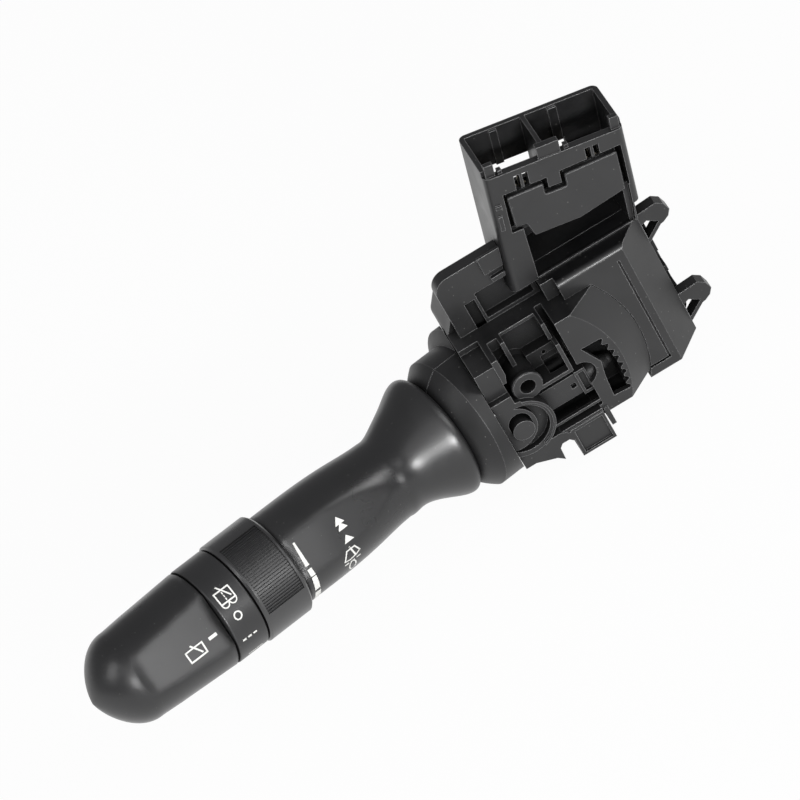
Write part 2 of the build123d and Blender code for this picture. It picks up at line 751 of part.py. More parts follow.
# Plunger with a rounded nose that rides on the cam
plunger_plane = sleeve_plane.offset(plunger_start - arm_end)
with BuildPart() as detent_plunger:
    with BuildSketch(plunger_plane):
        Circle(plunger_radius)
    extrude(amount=nose_reach - 3.0 - plunger_start)
    nose_side = Plane(origin=(pivot_x, sleeve_axis, pivot_z), x_dir=(1, 0, 0), z_dir=(0, -1, 0))
    with BuildSketch(nose_side):
        with BuildLine():
            Polyline(
                (nose_reach - 3.1, 0), (nose_reach - 3.1, plunger_radius), (nose_reach - 3.0, plunger_radius),
                (nose_reach - nose_radius, nose_radius),
            )
            RadiusArc((nose_reach - nose_radius, nose_radius), (nose_reach, 0), nose_radius)
            Line((nose_reach, 0), (nose_reach - 3.1, 0))
        make_face()
    revolve(axis=Axis((pivot_x, sleeve_axis, pivot_z), (1, 0, 0)))
save(detent_plunger, "detent_plunger")

spring_length = plunger_start - spring_start
with BuildPart() as detent_spring:
    with BuildLine():
        coil = Helix(
            (spring_length - spring_wire) / spring_turns, spring_length - spring_wire,
            plunger_radius - 2 * spring_wire,
            center=(pivot_x + spring_start + spring_wire / 2, sleeve_axis, pivot_z), direction=(1, 0, 0),
        )
    with BuildSketch(Plane(origin=coil @ 0, z_dir=coil % 0)):
        Circle(spring_wire / 2)
    sweep()
save(detent_spring, "detent_spring")

# Connector housing with two sockets, a recess for the lid and an open foot
front_rim_drop = 1.5
lid_corners = (
    (-15.0, 9.3), (-4.7, 9.0), (-4.7, 12.5), (1.4, 12.5), (1.4, 8.7), (16.4, 8.0),
    (16.5, 20.5), (3.0, 24.0), (-10.0, 24.0), (-11.5, 19.5), (-14.6, 19.2),
)
tab_rise = 2.2
key_depth = 0.7
with BuildPart() as connector_housing:
    well((-plug_half, plug_half), (plug_front, plug_back), (0, plug_length + 14))
    fillet(connector_housing.edges().filter_by(Axis((0, 0, 0), plug_out)), 2.0)
    slab((-20, 90), (plug_front - 5, plug_back + 5), (-30, case_top), Mode.SUBTRACT)
    inner_front = plug_front + plug_front_wall
    inner_back = plug_back - plug_wall
    well((-plug_half + plug_wall, divider_from), (inner_front, inner_back), (-1, socket_depth), Mode.SUBTRACT)
    well((divider_to, plug_half - plug_wall), (inner_front, inner_back), (-1, socket_depth), Mode.SUBTRACT)
    well((-plug_half - 1, plug_half + 1), (plug_front - 1, inner_front), (-1, front_rim_drop), Mode.SUBTRACT)
    # corner tabs and centre tab above the front rim
    well((-plug_half + 0.8, -plug_half + 3.4), (plug_front + 0.8, inner_front), (-tab_rise, 3))
    well((divider_from - 1.8, divider_to + 3.2), (plug_front + 0.4, inner_front), (-tab_rise, 3))
    well((plug_half - 3.2, plug_half - 0.8), (plug_front + 0.8, inner_front), (-tab_rise, 3))
    well((-plug_half + 4.2, -plug_half + 5.4), (plug_front + 0.8, inner_front), (0.4, 3))
    well((3.2, 4.4), (plug_front + 0.8, inner_front), (0.4, 3))
    # opening below the back wall, and key ribs on its inside
    well((-18, 8), (inner_back - 0.1, plug_back + 1), (back_lip, socket_depth - 1), Mode.SUBTRACT)
    well((-11.6, -9.4), (inner_back - key_depth, inner_back + 0.1), (0.6, back_lip))
    well((5.0, 7.6), (inner_back - key_depth, inner_back + 0.1), (0.6, back_lip))
    # recess round the lid, open to the sockets beside it, with slots above
    plug_shape(
        ((-15.8, 7.9), (-3.4, 7.6), (-3.4, 10.9), (0.3, 10.9), (0.3, 7.2), (17.9, 6.4),
         (17.9, 19.6), (-15.8, 19.6)),
        (plug_front - 1, inner_front + 0.1), Mode.SUBTRACT,
    )
    for slot_u in (-11.9, -9.6, 8.2, 10.5):
        well((slot_u, slot_u + 1.5), (plug_front - 1, inner_front + 0.1), (3.4, 8.4), Mode.SUBTRACT)
    plug_shape(lid_corners, (lid_depth, inner_front))
    plug_shape(
        ((-15.8, 19.5), (17.6, 19.5), (17.6, 26.0), (16.4, 46), (-11.6, 46), (-12.6, 20.6), (-15.8, 20.6)),
        (plug_front - 1, lid_depth), Mode.SUBTRACT,
    )
    well((-15, 16), (lid_depth - 0.1, inner_back - 0.5), (socket_depth + 1.5, 46), Mode.SUBTRACT)
    well((plug_half - 1.8, plug_half + 2), (plug_front - 1, plug_back + 1), (26, 46), Mode.SUBTRACT)
    # sill across the open foot, ribs on the left front
    slab((12.0, 46.0), (plug_front, plug_front + 0.6), (case_top, case_top + 0.5))
    well((-18.6, -16.9), (plug_front - 0.5, plug_front + 0.1), (10.5, 11.6))
    well((-18.6, -17.4), (plug_front - 0.5, plug_front + 0.1), (14.0, 18.5))
save(connector_housing, "connector_housing")

with BuildPart() as connector_lid:
    plug_shape(lid_corners, (lid_depth - lid_thick, lid_depth))
    fillet(connector_lid.edges().filter_by(Axis.Y), 0.5)
    chamfer(connector_lid.faces().sort_by(Axis.Y)[0].edges(), 0.25)
save(connector_lid, "connector_lid")

blade_rows = (20.6, 26.4)
left_count = 5
right_count = 6
for terminals, count, middle in (("left_terminals", left_count, -10.4), ("right_terminals", right_count, 8.5)):
    with BuildPart() as blades:
        for row in blade_rows:
            for place in range(count):
                spot_u = middle + (place - (count - 1) / 2) * blade_pitch
                well((spot_u - blade / 2, spot_u + blade / 2), (row - blade / 2, row + blade / 2),
                     (socket_depth - blade_length, socket_depth))
    save(blades, terminals)

# Round cover at the lever's root, split through the lever axis into a front and a back half
dome_meet = math.sqrt(dome_radius ** 2 - shroud_radius ** 2)
dome_end = math.sqrt(dome_radius ** 2 - dome_opening ** 2)
dome_inner_end = math.sqrt(dome_inner ** 2 - dome_opening ** 2)
dome_inner_meet = math.sqrt(dome_inner ** 2 - shroud_inner ** 2)
flare_radius = 23.7
flare_start = 5.0
flare_end = 7.0
with BuildPart() as shroud_tube:
    with BuildSketch(lever_side):
        with BuildLine():
            Line((-4, shroud_radius), (dome_meet, shroud_radius))
            RadiusArc((dome_meet, shroud_radius), (dome_end, dome_opening), dome_radius)
            Line((dome_end, dome_opening), (dome_inner_end, dome_opening))
            RadiusArc((dome_inner_end, dome_opening), (dome_inner_meet, shroud_inner), -dome_inner)
            Polyline((dome_inner_meet, shroud_inner), (-4, shroud_inner), (-4, shroud_radius))
        make_face()
    revolve(axis=lever_axis)
    slab((case_left - 0.2, 40), (-10, 50), (-50, 50), Mode.SUBTRACT)
with BuildPart() as shroud_flare:
    with BuildSketch(lever_side):
        with BuildLine():
            Polyline((-4, shroud_radius - 0.5), (flare_end, shroud_radius - 0.5), (flare_end, shroud_radius),
                     (flare_start, flare_radius), (-4, flare_radius), close=True)
        make_face()
    revolve(axis=lever_axis)
    slab((case_left - 0.2, 40), (-10, 50), (-50, 50), Mode.SUBTRACT)
split_front = Plane(origin=hub, z_dir=out.cross(Vector(0, 0, 1)))
with BuildPart() as shroud_front:
    add(shroud_tube.part)
    split(bisect_by=split_front.offset(-seam / 2), keep=Keep.BOTTOM)
save(shroud_front, "shroud_front")
with BuildPart() as shroud_back:
    add(shroud_tube.part)
    add(shroud_flare.part)
    split(bisect_by=split_front.offset(seam / 2), keep=Keep.TOP)
save(shroud_back, "shroud_back")

# Lever core: eye on the tilt pin, shank and a tube for the wires
eye_top = 1.5
with BuildPart() as lever_core:
    rod(eye_radius - 1.1, core_start + 1, shank_radius)
    rod(core_start, collar_end, core_radius)
    with BuildSketch(tilt_plane.offset(-eye_half)):
        Circle(eye_radius)
    extrude(amount=eye_half + eye_top)
    with BuildSketch(tilt_plane.offset(eye_top)):
        Circle(eye_radius)
    extrude(amount=eye_half, mode=Mode.SUBTRACT)
    with BuildSketch(tilt_plane.offset(-eye_half - 1)):
        Circle(tilt_pin_radius + running)
    extrude(amount=3 * eye_half, mode=Mode.SUBTRACT)
    rod(core_start + 2, collar_end + 1, core_bore, Mode.SUBTRACT)
save(lever_core, "lever_core")

with BuildPart() as lever_harness:
    rod(core_start + 3, collar_end - 1, core_bore - 0.5)
save(lever_harness, "lever_harness")

pull_turns = 4
pull_height = 2.0
pull_wire = 0.44
pull_lift = 2.0
pull_gap = 0.9
with BuildPart() as pull_spring:
    with BuildLine():
        pull_coil = Helix(
            pull_height / pull_turns, pull_height, tilt_pin_radius + pull_gap,
            center=(pivot_x, axis_depth, pivot_z + pull_lift),
        )
    with BuildSketch(Plane(origin=pull_coil @ 0, z_dir=pull_coil % 0)):
        Circle(pull_wire / 2)
    sweep()
save(pull_spring, "pull_spring")

collar_fit = 0.03

# Grip: drawn-out oval sections from the marked end to the flare, then the printed flat
waist = 40.8
waist_radius = 11.95
grip_radius = 13.6
flare_sections = (
    (36.7, 12.3, 12.1, 0.4), (32.6, 13.65, 13.0, 1.0), (28.4, 15.7, 14.6, 1.1),
    (24.3, 17.8, 16.2, 1.15), (22.3, 18.2, 16.6, 1.1), (20.6, 17.2, 15.8, 1.1),
)
counterbore = 1.4
counterbore_radius = 11.5
with BuildPart() as grip:
    with BuildSketch(lever_upright.offset(waist)):
        Circle(waist_radius)
    for station, half_up, half_near, shift in flare_sections:
        with BuildSketch(lever_upright.offset(station)):
            with Locations((shift, 0)):
                Ellipse(half_up, half_near)
    loft()
    with BuildSketch(lever_side):
        with BuildLine():
            Line((waist, 0), (waist, waist_radius))
            Spline((waist, waist_radius), (51.9, 12.9), (65.7, grip_radius), (grip_end, grip_radius),
                   tangents=((1, 0.02), (1, 0)))
            Polyline((grip_end, grip_radius), (grip_end, 0), (waist, 0))
        make_face()
    revolve(axis=lever_axis)
    rod(core_start - 5, grip_end + 3, core_radius + collar_fit, Mode.SUBTRACT)
    rod(grip_end - counterbore, grip_end + 3, counterbore_radius, Mode.SUBTRACT)
    with BuildSketch(lever_side):
        with BuildLine():
            Line((0, 0), (grip_hollow, 0))
            RadiusArc((grip_hollow, 0), (0, grip_hollow), -grip_hollow)
            Line((0, grip_hollow), (0, 0))
        make_face()
    revolve(axis=lever_axis, mode=Mode.SUBTRACT)
    facet(waist - 0.8, grip_end + 3)
save(grip, "grip")

# Collar with the knob's marks, its drum, neck and spindle
knob_board_radius = 10.8
knob_board_thick = 0.8
neck_end = 81.0
drum_start = 80.0
collar_round = 0.4
with BuildPart() as marking_collar:
    rod(grip_end + 0.2, neck_end, ring_neck)
    rod(drum_start, collar_start + cut_over, drum_radius)
    rod(collar_start, collar_end, collar_radius)
    rod(collar_end, spindle_end, spindle_radius)
    fillet(marking_collar.edges().filter_by(GeomType.CIRCLE).group_by(SortBy.RADIUS)[-1],
           collar_round)
    rod(grip_end, collar_end, core_radius + collar_fit, Mode.SUBTRACT)
    rod(collar_end - 0.5, spindle_end - 2, core_bore + 0.4, Mode.SUBTRACT)
save(marking_collar, "marking_collar")

with BuildPart() as ring_board:
    rod(grip_end - counterbore + 0.1, grip_end - 0.2, counterbore_radius - 0.2)
    rod(grip_end - counterbore, grip_end, core_radius + collar_fit, Mode.SUBTRACT)
save(ring_board, "ring_board")

with BuildPart() as knob_board:
    rod(collar_end, collar_end + knob_board_thick, knob_board_radius)
    rod(collar_end - 0.1, collar_end + 1, spindle_radius + collar_fit, Mode.SUBTRACT)
save(knob_board, "knob_board")

# Interval ring with gripping grooves along two sides
groove_middle = 5.5
groove_inset = 1.2
ring_chamfer = 0.6
contact_thick = 0.35
contact_radii = (9.7, 11.0)
contact_width = 14.0
contact_start = 8.0
contact_reach = 24.0
with BuildPart() as interval_ring:
    rod(ring_start, ring_end, ring_radius)
    chamfer(interval_ring.edges().filter_by(GeomType.CIRCLE), ring_chamfer)
    rod(ring_start - 1, ring_end + 1, ring_neck + running, Mode.SUBTRACT)
    rod(drum_start - running, ring_end + 1, drum_radius + running, Mode.SUBTRACT)
    with BuildSketch(lever.offset(ring_start + groove_inset)):
        for side in (0, 180):
            for groove in range(knurl_count):
                turned = side + groove_middle + knurl_arc * (groove / (knurl_count - 1) - 0.5)
                with Locations(Location((0, 0, 0), (0, 0, turned)) * Location((ring_radius, 0, 0))):
                    Rectangle(2 * knurl_depth, knurl_width)
    extrude(amount=ring_end - ring_start - 2 * groove_inset, mode=Mode.SUBTRACT)
save(interval_ring, "interval_ring")

with BuildPart() as ring_contact:
    with BuildSketch(lever.offset(ring_start - contact_thick)):
        Circle(contact_radii[1])
        Circle(contact_radii[0], mode=Mode.SUBTRACT)
        with Locations((contact_start + contact_reach / 2, 0)):
            Rectangle(contact_reach, contact_width, mode=Mode.INTERSECT)
    extrude(amount=contact_thick)
save(ring_contact, "ring_contact")

# End knob: turned outline, pocket for the board, and the thumb flat
knob_pocket = 1.4
knob_contact_gap = 1.1
knob_contact_radii = (9.0, 10.6)
knob_contact_width = 12.0
knob_rim = 0.5
knob_belly = (121.0, 13.85)
run_out = 3.6
knob_points = ((127.0, 13.45), (130.0, 13.1), (133.4, 11.3), (136.4, 8.2), (138.6, 4.6), (knob_tip, 0.0))
with BuildPart() as end_knob:
    with BuildSketch(lever_side):
        with BuildLine():
            Polyline((knob_start, 0), (knob_start, knob_root_radius - knob_rim), (knob_start + knob_rim, knob_root_radius),
                     knob_belly, knob_points[0])
            Spline(*knob_points)
            Line(knob_points[-1], (knob_start, 0))
        make_face()
    revolve(axis=lever_axis)
    rod(knob_start - 1, spindle_end + running, spindle_radius + running, Mode.SUBTRACT)
    rod(knob_start - 1, knob_start + knob_pocket, knob_board_radius + 0.4, Mode.SUBTRACT)
    facet(knob_start - 1, knob_shoulder, run_out)
save(end_knob, "end_knob")

with BuildPart() as knob_contact:
    with BuildSketch(lever.offset(collar_end + knob_contact_gap)):
        Circle(knob_contact_radii[1])
        Circle(knob_contact_radii[0], mode=Mode.SUBTRACT)
        with Locations((contact_start + contact_reach / 2, 0)):
            Rectangle(contact_reach, knob_contact_width, mode=Mode.INTERSECT)
    extrude(amount=knob_start + knob_pocket - collar_end - knob_contact_gap)
save(knob_contact, "knob_contact")

# Contact slider that the bracket's peg carries along the board, with its brass bridges
slider_back = 29.0
slider_half = 7.0
slot_play = 0.35
slider_wide = 3.4
slider_window = 2.4
slider_bevel = 0.5
bridge_wide = 2.8
bridge_inset = 2.4
bridge_half = 0.8
bridge_thick = 0.3
with BuildPart() as contact_slider:
    slab((slider_x - slider_wide, slider_x + slider_wide), (slider_front, slider_back),
         (pivot_z - slider_half, pivot_z + slider_half))
    chamfer(contact_slider.edges().filter_by(Axis.Y), slider_bevel)
    slab((slider_x - slider_window, slider_x + slider_window), (slider_front - 1, slider_back + 1),
         (pivot_z - peg_radius - slot_play, pivot_z + peg_radius + slot_play), Mode.SUBTRACT)
save(contact_slider, "contact_slider")

with BuildPart() as contact_bridges:
    for side in (1, -1):
        middle = pivot_z + side * (slider_half - bridge_inset)
        slab((slider_x - bridge_wide, slider_x + bridge_wide), (slider_back, slider_back + bridge_thick),
             (middle - bridge_half, middle + bridge_half))
save(contact_bridges, "contact_bridges")
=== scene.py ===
import bpy
import json
import math
from mathutils import Matrix, Vector
from mathutils.bvhtree import BVHTree


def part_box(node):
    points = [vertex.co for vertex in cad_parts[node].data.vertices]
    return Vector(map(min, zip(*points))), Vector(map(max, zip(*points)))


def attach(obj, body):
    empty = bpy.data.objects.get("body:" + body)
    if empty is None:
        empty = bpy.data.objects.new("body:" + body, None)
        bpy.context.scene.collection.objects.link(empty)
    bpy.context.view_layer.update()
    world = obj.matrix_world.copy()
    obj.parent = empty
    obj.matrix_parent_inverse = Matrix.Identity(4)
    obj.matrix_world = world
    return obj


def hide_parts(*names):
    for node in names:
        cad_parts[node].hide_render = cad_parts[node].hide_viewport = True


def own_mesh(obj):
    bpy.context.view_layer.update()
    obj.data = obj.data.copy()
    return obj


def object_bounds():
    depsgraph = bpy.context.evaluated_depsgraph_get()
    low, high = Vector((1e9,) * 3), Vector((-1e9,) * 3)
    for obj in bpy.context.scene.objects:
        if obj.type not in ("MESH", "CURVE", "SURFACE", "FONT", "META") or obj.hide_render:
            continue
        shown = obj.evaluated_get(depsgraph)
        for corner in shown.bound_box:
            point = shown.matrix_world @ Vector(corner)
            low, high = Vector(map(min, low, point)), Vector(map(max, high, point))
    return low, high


# Wiper stalk switch: black moulded plastics with white printed marks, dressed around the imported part
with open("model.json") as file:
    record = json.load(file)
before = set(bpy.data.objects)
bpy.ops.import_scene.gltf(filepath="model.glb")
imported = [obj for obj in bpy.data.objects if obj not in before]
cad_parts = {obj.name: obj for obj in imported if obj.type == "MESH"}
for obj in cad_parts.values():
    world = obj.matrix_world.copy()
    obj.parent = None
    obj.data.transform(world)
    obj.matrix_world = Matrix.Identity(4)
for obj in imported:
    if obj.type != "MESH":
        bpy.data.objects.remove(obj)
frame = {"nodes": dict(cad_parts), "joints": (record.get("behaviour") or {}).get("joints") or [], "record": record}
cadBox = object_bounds()
cadNodes = frame["nodes"]
mm = 0.001


def toLinear(hexColour):
    # sRGB hex to linear RGBA
    channels = [int(hexColour[i:i + 2], 16) / 255 for i in (1, 3, 5)]
    return tuple(c / 12.92 if c <= 0.04045 else ((c + 0.055) / 1.055) ** 2.4 for c in channels) + (1.0,)


def addNode(tree, kind, settings=None, inputs=None):
    node = tree.nodes.new(kind)
    for name, value in (settings or {}).items():
        setattr(node, name, value)
    for name, value in (inputs or {}).items():
        if isinstance(value, bpy.types.NodeSocket):
            tree.links.new(value, node.inputs[name])
        else:
            node.inputs[name].default_value = value
    return node


def newMaterial(name):
    material = bpy.data.materials.new(name)
    material.use_nodes = True
    material.node_tree.nodes.clear()
    return material, material.node_tree


def mouldedPlastic(look):
    # glass-filled nylon or ABS from a spark-eroded mould: matt, faintly mottled, with a paler colour on its edges
    # (painted highlight and rubbing wear) and painted shade in its recesses
    material, tree = newMaterial(look["name"])
    place = addNode(tree, "ShaderNodeTexCoord").outputs["Object"]
    grain = addNode(tree, "ShaderNodeTexNoise", None, {
        "Vector": place, "Scale": 1 / (look["grainMm"] * mm), "Detail": 3.0, "Roughness": 0.6,
    }).outputs["Fac"]
    flow = addNode(tree, "ShaderNodeTexNoise", None, {
        "Vector": place, "Scale": 1 / (look["flowMm"] * mm),
        "Detail": 4.0, "Roughness": 0.55, "Distortion": 0.6,
    }).outputs["Fac"]
    specks = addNode(tree, "ShaderNodeTexVoronoi", {"feature": "F1"}, {
        "Vector": place, "Scale": 1 / (look["dustEveryMm"] * mm), "Randomness": 1.0,
    }).outputs["Distance"]
    openness = addNode(tree, "ShaderNodeAmbientOcclusion", {"samples": 6}, {
        "Distance": look["hollowMm"] * mm,
    }).outputs["AO"]

    # an edge is where the rounded normal turns away from the face's own: its colour is painted pale there, a
    # painted highlight along the edges that also stands for rubbing wear
    bent = addNode(tree, "ShaderNodeBevel", {"samples": 4}, {"Radius": look["edgeMm"] * mm}).outputs[0]
    face = addNode(tree, "ShaderNodeNewGeometry").outputs["True Normal"]
    match = addNode(tree, "ShaderNodeVectorMath", {"operation": "DOT_PRODUCT"}, {0: bent, 1: face})
    rubbed = addNode(tree, "ShaderNodeMapRange", None, {
        "Value": match.outputs["Value"], "From Min": look["rubFull"], "From Max": look["rubNone"],
        "To Min": look["rub"], "To Max": 0.0,
    }).outputs["Result"]

    # colour: two close blacks in flow patches, then pale edges (painted highlight and rubbing wear), then dust
    # (a colour mix has its colours at inputs 6 and 7 and its result at output 2)
    patch = addNode(tree, "ShaderNodeMapRange", None, {
        "Value": flow, "From Min": look["patchFrom"], "From Max": look["patchTo"],
    }).outputs["Result"]
    mottled = addNode(tree, "ShaderNodeMix", {"data_type": "RGBA"}, {
        0: patch, 6: toLinear(look["dark"]), 7: toLinear(look["pale"]),
    }).outputs[2]
    # pale edges: painted highlight, partly rubbing wear
    worn = addNode(tree, "ShaderNodeMix", {"data_type": "RGBA"}, {
        0: rubbed, 6: mottled, 7: toLinear(look["edge"]),
    }).outputs[2]
    dust = addNode(tree, "ShaderNodeMapRange", None, {
        "Value": specks, "From Min": look["speckCore"], "From Max": look["speckRim"],
        "To Min": look["dust"], "To Max": 0.0,
    }).outputs["Result"]
    colour = addNode(tree, "ShaderNodeMix", {"data_type": "RGBA"}, {
        0: dust, 6: worn, 7: toLinear(look["dustColour"]),
    }).outputs[2]

    # sheen: a little uneven on open faces, dull mould skin in the recesses
    openRoughness = addNode(tree, "ShaderNodeMapRange", None, {
        "Value": flow, "From Min": 0.3, "From Max": 0.7,
        "To Min": look["roughness"] - look["sheenSpread"], "To Max": look["roughness"] + look["sheenSpread"],
    }).outputs["Result"]
    roughness = addNode(tree, "ShaderNodeMapRange", None, {
        "Value": openness, "From Min": look["dullFull"], "From Max": look["dullNone"],
        "To Min": look["deepRoughness"], "To Max": openRoughness,
    }).outputs["Result"]

    # moulded edges are never sharp, and the grain lies on the softened surface
    softened = addNode(tree, "ShaderNodeBevel", {"samples": 6}, {"Radius": look["softMm"] * mm}).outputs[0]
    bump = addNode(tree, "ShaderNodeBump", None, {
        "Height": grain, "Strength": look["grainStrength"], "Distance": look["grainDepthMm"] * mm,
        "Normal": softened,
    }).outputs["Normal"]
    unshadedPlastic = addNode(tree, "ShaderNodeBsdfPrincipled", None, {
        "Base Color": colour, "Roughness": roughness, "Normal": bump, "IOR": 1.53,
        "Specular IOR Level": look["specular"],
    }).outputs[0]

    # painted shade: ambient occlusion mixes the recesses towards a near-black matt shader with little specular
    paintedShade = addNode(tree, "ShaderNodeBsdfPrincipled", None, {
        "Base Color": toLinear(look["paintedShadeColour"]), "Roughness": 0.9, "IOR": 1.53, "Specular IOR Level": 0.1,
    }).outputs[0]
    paintedShadeAmount = addNode(tree, "ShaderNodeMapRange", None, {
        "Value": openness, "From Min": look["paintedShadeFull"], "From Max": look["paintedShadeNone"],
        "To Min": look["deepShare"], "To Max": 0.0,
    }).outputs["Result"]
    surface = addNode(tree, "ShaderNodeMixShader", None, {0: paintedShadeAmount, 1: unshadedPlastic, 2: paintedShade}).outputs[0]
    addNode(tree, "ShaderNodeOutputMaterial", None, {"Surface": surface})
    return material


def metal(look):
    # drawn, ground or plated metal: its fine scratches vary the tone and the sheen
    material, tree = newMaterial(look["name"])
    place = addNode(tree, "ShaderNodeTexCoord").outputs["Object"]
    scratch = addNode(tree, "ShaderNodeTexNoise", None, {
        "Vector": place, "Scale": 1 / (look["grainMm"] * mm), "Detail": 3.0,
    }).outputs["Fac"]
    colour = addNode(tree, "ShaderNodeMix", {"data_type": "RGBA"}, {
        0: scratch, 6: toLinear(look["dark"]), 7: toLinear(look["pale"]),
    }).outputs[2]
    roughness = addNode(tree, "ShaderNodeMapRange", None, {
        "Value": scratch, "From Min": 0.2, "From Max": 0.8, "To Min": look["low"], "To Max": look["high"],
    }).outputs["Result"]
    bump = addNode(tree, "ShaderNodeBump", None, {
        "Height": scratch, "Strength": 0.2, "Distance": look["scratchDepthMm"] * mm,
    }).outputs["Normal"]
    shader = addNode(tree, "ShaderNodeBsdfPrincipled", None, {
        "Base Color": colour, "Metallic": 1.0, "Roughness": roughness, "Normal": bump,
    }).outputs[0]
    addNode(tree, "ShaderNodeOutputMaterial", None, {"Surface": shader})
    return material


# body moulding: 30 % glass-filled nylon straight from a fine spark finish, black with a soft sheen
basePlastic = {
    "name": "glassFilledNylonSparkFinish",
    "dark": "#0e0e0f", "pale": "#161617", "flowMm": 14.0, "patchFrom": 0.35, "patchTo": 0.65,
    # edge colour, width and share: a painted highlight along the edges, partly rubbing wear
    "edge": "#a2a2a3", "rub": 0.62, "edgeMm": 0.32, "rubFull": 0.72, "rubNone": 0.995, "softMm": 0.3,
    "roughness": 0.36, "sheenSpread": 0.06, "specular": 0.6,
    "grainMm": 0.3, "grainStrength": 0.3, "grainDepthMm": 0.02,      # real grain is finer than a pixel
    "dust": 0.35, "dustColour": "#8f8f8c", "dustEveryMm": 2.2, "speckCore": 0.05, "speckRim": 0.09,
    "hollowMm": 11.0, "dullFull": 0.35, "dullNone": 0.85, "deepRoughness": 0.8,
    # painted shade in the recesses: the near-black matt colour, its occlusion range and its share
    "paintedShadeColour": "#060606", "paintedShadeFull": 0.2, "paintedShadeNone": 0.75, "deepShare": 0.92,
}
baseMetal = {"low": 0.25, "high": 0.4, "scratchDepthMm": 0.01}


def plastic(name, dark, pale, **changes):
    return mouldedPlastic({**basePlastic, "name": name, "dark": dark, "pale": pale, **changes})


def metalFinish(name, dark, pale, grainMm, **changes):
    return metal({**baseMetal, "name": name, "dark": dark, "pale": pale, "grainMm": grainMm, **changes})


print("materials")
finishes = {
    "case_plastic": mouldedPlastic(basePlastic),
    # the cover comes from another tool, with a duller face
    "cover_plastic": plastic("glassFilledNylonPaleSide", "#0a0a0b", "#121213", roughness=0.38),
    # retainer plate: plain nylon, even and satin
    "lid_plastic": plastic("nylonLidSatin", "#141415", "#19191a"),
    # acetal sliding pieces: smoother and a little waxy
    "slide_plastic": plastic("acetalSmooth", "#141415", "#1c1c1d", roughness=0.34),
    # shroud: coarser grain that breaks up the highlight
    "shroud_plastic": plastic("polishedNylonShroud", "#121213", "#171718", roughness=0.46, specular=0.45,
                              grainStrength=0.7, grainMm=0.45, hollowMm=4.0),
    # bracket and inner tube: the same nylon, greyer
    "bracket_plastic": plastic("nylonBracketMatt", "#161617", "#1e1e1f"),
    # grip: ABS with a very fine grain and softly blended flats
    "grip_plastic": plastic("absGripFineGrain", "#151516", "#1a1a1b", roughness=0.3, specular=0.68,
                            flowMm=30.0, grainMm=0.35, rub=0.1, dust=0.15, softMm=2.6, hollowMm=3.0),
    # collar: the same ABS, crisp at its ends
    "collar_plastic": plastic("absCollarFineGrain", "#1d1d1e", "#212122", flowMm=30.0, rub=0.2, dust=0.15,
                              hollowMm=3.0),
    # ring: glossier ribs, with painted shade darkening the grooves between them
    "ring_plastic": plastic("absRingGrooved", "#1c1c1d", "#212122", roughness=0.33, specular=0.95,
                            flowMm=20.0, rub=0.0, dust=0.1, hollowMm=0.5, deepShare=0.6, softMm=0.02,
                            edgeMm=0.06),
    # knob: worn by fingers, so its sheen is wide and its flats blend
    "knob_plastic": plastic("absKnobFineGrain", "#19191a", "#1e1e1f", roughness=0.31, flowMm=30.0,
                            rub=0.1, dust=0.15, softMm=3.2, hollowMm=3.0),
    # soft PVC insulation of the wires
    "wire_rubber": plastic("pvcWireSheath", "#1d1d1e", "#262627"),
    # green solder mask on glass-epoxy board
    "board_laminate": plastic("epoxyLaminateLacquered", "#1f4a2c", "#285a36", roughness=0.3, specular=0.5),
    # socket blades: brass under matt tin
    "tinned_brass": metalFinish("brassTinnedBlade", "#b3ab95", "#cfc8b4", 0.2),
    # bare stamped brass, yellow
    "contact_brass": metalFinish("brassStampedContact", "#b08b48", "#d1ac66", 0.3),
    # screws: grey zinc plating
    "zinc_steel": metalFinish("steelZincPlated", "#9d9d98", "#bdbdb8", 0.4, low=0.3, high=0.45),
    # ground pin, bright
    "pin_steel": metalFinish("steelGroundPin", "#8f8f92", "#b4b4b8", 0.2, low=0.2, high=0.35),
    # drawn spring wire, darker from its heat treatment
    "spring_steel": metalFinish("steelDrawnSpringWire", "#77777a", "#9a9a9e", 0.2),
}
for row in frame["record"]["subparts"]:
    mesh = cadNodes[row["node"]].data
    mesh.materials.clear()
    mesh.materials.append(finishes[row["material_slot"]])

# Printed marks: white pad-printed ink that lies on the surface below it
inkLook = {
    "name": "epoxyInkPadPrinted", "white": "#dcdcd8", "worn": "#c9c9c4",
    "wearMm": 0.5, "wearFrom": 0.55, "wearTo": 0.75, "liftMm": 0.03, "stepMm": 0.5, "castFromMm": 50.0,
}


def paintedInk():
    # one thin coat of ink: matt white, a little grey where it is thin
    material, tree = newMaterial(inkLook["name"])
    place = addNode(tree, "ShaderNodeTexCoord").outputs["Object"]
    thin = addNode(tree, "ShaderNodeTexNoise", None, {
        "Vector": place, "Scale": 1 / (inkLook["wearMm"] * mm), "Detail": 2.0,
    }).outputs["Fac"]
    wear = addNode(tree, "ShaderNodeMapRange", None, {
        "Value": thin, "From Min": inkLook["wearFrom"], "From Max": inkLook["wearTo"],
    }).outputs["Result"]
    colour = addNode(tree, "ShaderNodeMix", {"data_type": "RGBA"}, {
        0: wear, 6: toLinear(inkLook["white"]), 7: toLinear(inkLook["worn"]),
    }).outputs[2]
    shader = addNode(tree, "ShaderNodeBsdfPrincipled", None, {
        "Base Color": colour, "Roughness": 0.5, "IOR": 1.5,
    }).outputs[0]
    addNode(tree, "ShaderNodeOutputMaterial", None, {"Surface": shader})
    return material


ink = paintedInk()

# Lever directions, as the record's joints give them: outward along it, near side towards the camera
joints = {joint["name"]: joint for joint in frame["joints"]}
hub = Vector(joints["lever_swing"]["pos_m"])
outward = -Vector(joints["ring_turn"]["axis"]).normalized()
viewRise = math.radians(40)
toward = Vector((0, -math.cos(viewRise), math.sin(viewRise)))
nearSide = (toward - outward * toward.dot(outward)).normalized()
upSide = outward.cross(nearSide)


def surfaceOf(nodeName):
    mesh = cadNodes[nodeName].data
    return BVHTree.FromPolygons([v.co for v in mesh.vertices], [p.vertices for p in mesh.polygons])


